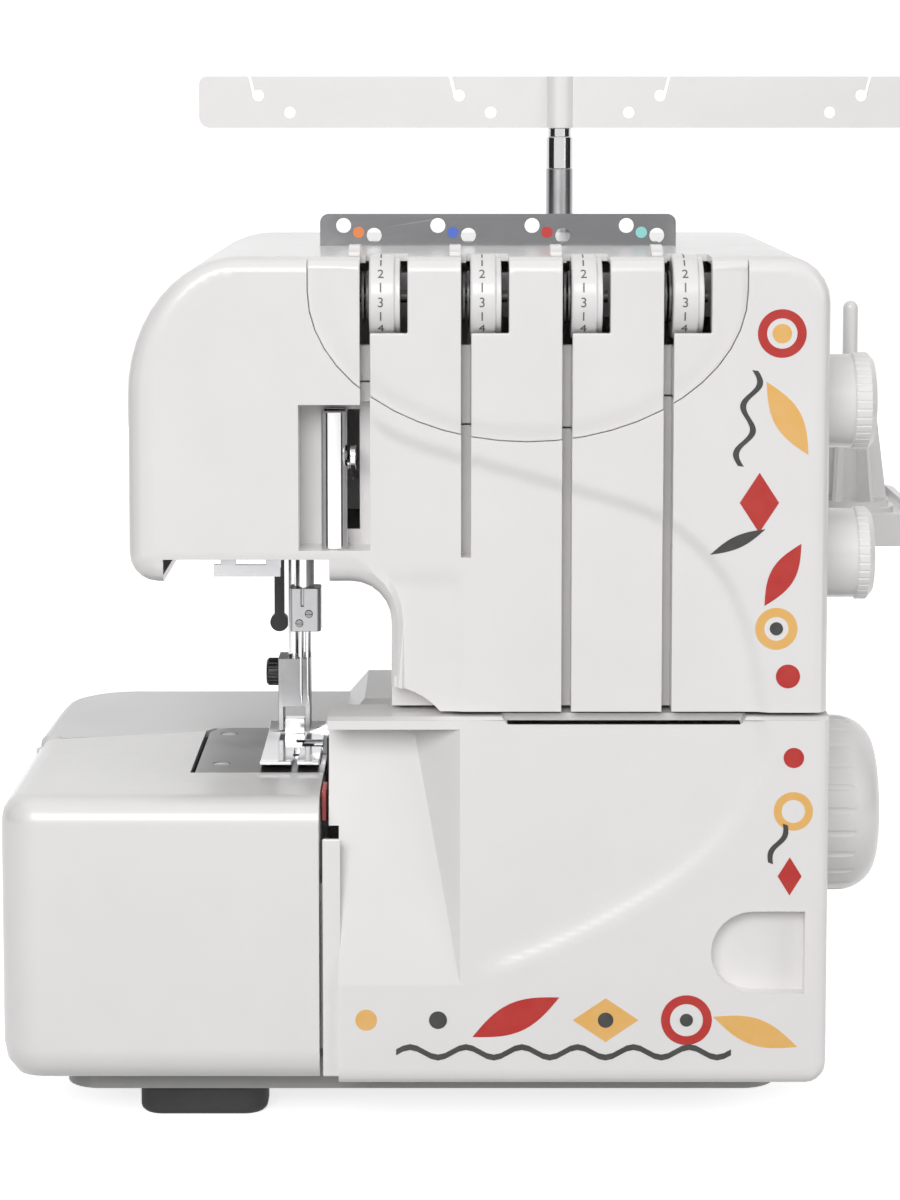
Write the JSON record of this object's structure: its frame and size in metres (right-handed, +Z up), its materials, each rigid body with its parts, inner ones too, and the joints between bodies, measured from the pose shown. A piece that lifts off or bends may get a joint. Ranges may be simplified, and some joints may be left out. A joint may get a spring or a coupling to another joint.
{
  "type": "serger overlock machine",
  "caption": "Household overlock sewing machine with arched tension panel, looper cover, cloth plate, spool stand and telescopic thread guide.",
  "frame": {"origin": "middle of the footprint on the table top", "axes": "+X to the right seen from the front, +Y to the back, +Z up"},
  "size_m": [0.338, 0.282, 0.3574],
  "materials": {
    "white_moulding": "glossy white moulding with a faint warm tint",
    "grey_moulding": "satin pale grey moulding",
    "black_moulding": "satin black moulding",
    "dark_base": "dark grey base pan",
    "black_rubber": "black rubber",
    "cast_frame": "raw die casting",
    "bright_steel": "plain bright steel",
    "dark_steel": "dark ground steel",
    "polished_chrome": "polished chrome",
    "red_moulding": "red moulding",
    "lamp_body": "white lamp body with a pale bulb"
  },
  "bodies": {
    "machine": {"base_tray": "dark_base", "rubber_feet": "black_rubber", "inner_frame": "cast_frame", "front_cover": "white_moulding", "tension_panel": "white_moulding", "rear_cover": "white_moulding", "bed_housing": "grey_moulding", "cloth_cover_pin": "bright_steel", "needle_plate": "dark_steel", "cover_screws": "bright_steel", "lower_knife": "bright_steel", "pivot_shafts": "bright_steel", "drive_belt": "black_rubber", "motor": "bright_steel", "tension_units": "bright_steel", "thread_hooks": "white_moulding", "thread_guide_plate": "bright_steel", "needle_thread_guide": "bright_steel", "takeup_cover": "polished_chrome", "presser_spring": "bright_steel", "spool_tray": "white_moulding", "spool_pins": "white_moulding", "cone_holders": "grey_moulding", "pole_outer": "bright_steel", "inlet_socket": "black_moulding", "lamp": "lamp_body"},
    "drive": {"handwheel": "white_moulding", "main_shaft": "bright_steel", "shaft_pulley": "black_moulding"},
    "motor_rotor": {"motor_pulley": "black_moulding"},
    "plate_cover": {"cloth_plate_cover": "white_moulding"},
    "cover_rod": {"looper_cover_rod": "bright_steel"},
    "front_door": {"looper_cover": "white_moulding"},
    "takeup": {"takeup_lever": "polished_chrome"},
    "needle_carrier": {"needle_bar": "polished_chrome", "needle_clamp": "bright_steel", "needles": "polished_chrome", "clamp_screws": "dark_steel"},
    "lifter": {"presser_lifter": "black_moulding"},
    "presser": {"presser_bar": "polished_chrome", "foot_holder": "dark_steel", "foot_thumb_screw": "black_moulding", "foot_pin": "bright_steel"},
    "foot": {"presser_foot": "polished_chrome"},
    "dial_1": {"tension_dial_1": "white_moulding"},
    "dial_2": {"tension_dial_2": "white_moulding"},
    "dial_3": {"tension_dial_3": "white_moulding"},
    "dial_4": {"tension_dial_4": "white_moulding"},
    "length_dial": {"stitch_length_dial": "white_moulding"},
    "diff_dial": {"differential_dial": "white_moulding"},
    "knife": {"upper_knife": "black_moulding"},
    "looper_upper": {"upper_looper": "polished_chrome"},
    "looper_lower": {"lower_looper": "polished_chrome"},
    "feed_main": {"main_feed_dog": "bright_steel"},
    "feed_diff": {"diff_feed_dog": "bright_steel"},
    "finger_lever": {"stitch_finger_lever": "red_moulding"},
    "antenna_mid": {"pole_mid": "polished_chrome"},
    "antenna_top": {"pole_top": "polished_chrome"},
    "antenna_bar": {"guide_bar": "white_moulding"},
    "rocker": {"power_switch": "black_moulding"}
  },
  "joints": [
    {"name": "handwheel_spin", "type": "hinge", "parent": "machine", "child": "drive", "pos_m": [0.1, -0.071, 0.0995], "axis": [1, 0, 0], "continuous": true},
    {"name": "motor_spin", "type": "hinge", "parent": "machine", "child": "motor_rotor", "pos_m": [0.09, 0, 0.06], "axis": [1, 0, 0], "continuous": true},
    {"name": "plate_cover_swing", "type": "hinge", "parent": "machine", "child": "plate_cover", "pos_m": [-0.1644, -0.044, 0.07], "axis": [0, 0, 1], "range_deg": [-90, 0]},
    {"name": "front_door_shift", "type": "slide", "parent": "machine", "child": "cover_rod", "axis": [1, 0, 0], "range_m": [0, 0.005]},
    {"name": "front_door_drop", "type": "hinge", "parent": "cover_rod", "child": "front_door", "pos_m": [0.02, -0.127, 0.027], "axis": [1, 0, 0], "range_deg": [0, 84]},
    {"name": "takeup_swing", "type": "hinge", "parent": "machine", "child": "takeup", "pos_m": [-0.05, -0.109, 0.225], "axis": [1, 0, 0], "range_deg": [-12, 12]},
    {"name": "needle_stroke", "type": "slide", "parent": "machine", "child": "needle_carrier", "axis": [0, 0, 1], "range_m": [-0.027, 0]},
    {"name": "lifter_swing", "type": "hinge", "parent": "machine", "child": "lifter", "pos_m": [-0.0808, -0.034, 0.2185], "axis": [0, 1, 0], "range_deg": [0, 38]},
    {"name": "presser_slide", "type": "slide", "parent": "machine", "child": "presser", "axis": [0, 0, 1], "range_m": [0, 0.006], "deforming": ["presser_spring"]},
    {"name": "foot_tilt", "type": "hinge", "parent": "presser", "child": "foot", "pos_m": [-0.0743, -0.046, 0.1227], "axis": [1, 0, 0], "range_deg": [-6, 0]},
    {"name": "tension_dial_1_turn", "type": "hinge", "parent": "machine", "child": "dial_1", "pos_m": [-0.039, -0.1258, 0.2833], "axis": [1, 0, 0], "range_deg": [-140, 140]},
    {"name": "tension_dial_2_turn", "type": "hinge", "parent": "machine", "child": "dial_2", "pos_m": [-0.0057, -0.1258, 0.2833], "axis": [1, 0, 0], "range_deg": [-140, 140]},
    {"name": "tension_dial_3_turn", "type": "hinge", "parent": "machine", "child": "dial_3", "pos_m": [0.0276, -0.1258, 0.2833], "axis": [1, 0, 0], "range_deg": [-140, 140]},
    {"name": "tension_dial_4_turn", "type": "hinge", "parent": "machine", "child": "dial_4", "pos_m": [0.0609, -0.1258, 0.2833], "axis": [1, 0, 0], "range_deg": [-140, 140]},
    {"name": "length_dial_turn", "type": "hinge", "parent": "machine", "child": "length_dial", "pos_m": [0.11, -0.101, 0.246], "axis": [1, 0, 0], "range_deg": [-120, 150]},
    {"name": "diff_dial_turn", "type": "hinge", "parent": "machine", "child": "diff_dial", "pos_m": [0.11, -0.101, 0.1937], "axis": [1, 0, 0], "range_deg": [-100, 160]},
    {"name": "upper_knife_swing", "type": "hinge", "parent": "machine", "child": "knife", "pos_m": [-0.055, -0.106, 0.092], "axis": [1, 0, 0], "range_deg": [-16, 0]},
    {"name": "upper_looper_swing", "type": "hinge", "parent": "machine", "child": "looper_upper", "pos_m": [-0.042, -0.067, 0.068], "axis": [0, 1, 0], "range_deg": [0, 24]},
    {"name": "lower_looper_swing", "type": "hinge", "parent": "machine", "child": "looper_lower", "pos_m": [-0.052, -0.0595, 0.046], "axis": [0, 1, 0], "range_deg": [0, 25]},
    {"name": "main_feed_stroke", "type": "slide", "parent": "machine", "child": "feed_main", "axis": [0, 1, 0], "range_m": [-0.002, 0.002]},
    {"name": "diff_feed_stroke", "type": "slide", "parent": "machine", "child": "feed_diff", "axis": [0, 1, 0], "range_m": [-0.002, 0.002]},
    {"name": "stitch_finger_shift", "type": "slide", "parent": "machine", "child": "finger_lever", "axis": [0, 1, 0], "range_m": [0, 0.006]},
    {"name": "antenna_mid_slide", "type": "slide", "parent": "machine", "child": "antenna_mid", "axis": [0, 0, 1], "range_m": [0, 0.1]},
    {"name": "antenna_top_slide", "type": "slide", "parent": "antenna_mid", "child": "antenna_top", "axis": [0, 0, 1], "range_m": [0, 0.1]},
    {"name": "antenna_bar_turn", "type": "hinge", "parent": "antenna_top", "child": "antenna_bar", "pos_m": [0.0249, 0.056, 0.34], "axis": [0, 0, 1], "continuous": true},
    {"name": "power_rocker", "type": "hinge", "parent": "machine", "child": "rocker", "pos_m": [0.1055, 0.027, 0.0693], "axis": [0, 0, 1], "range_deg": [0, 16]}
  ],
  "couplings": [
    {"joint": "motor_spin", "follows": "handwheel_spin", "ratio": 3},
    {"joint": "lifter_swing", "follows": "presser_slide", "rad_per_m": 110.5},
    {"joint": "diff_feed_stroke", "follows": "main_feed_stroke", "ratio": 1}
  ]
}
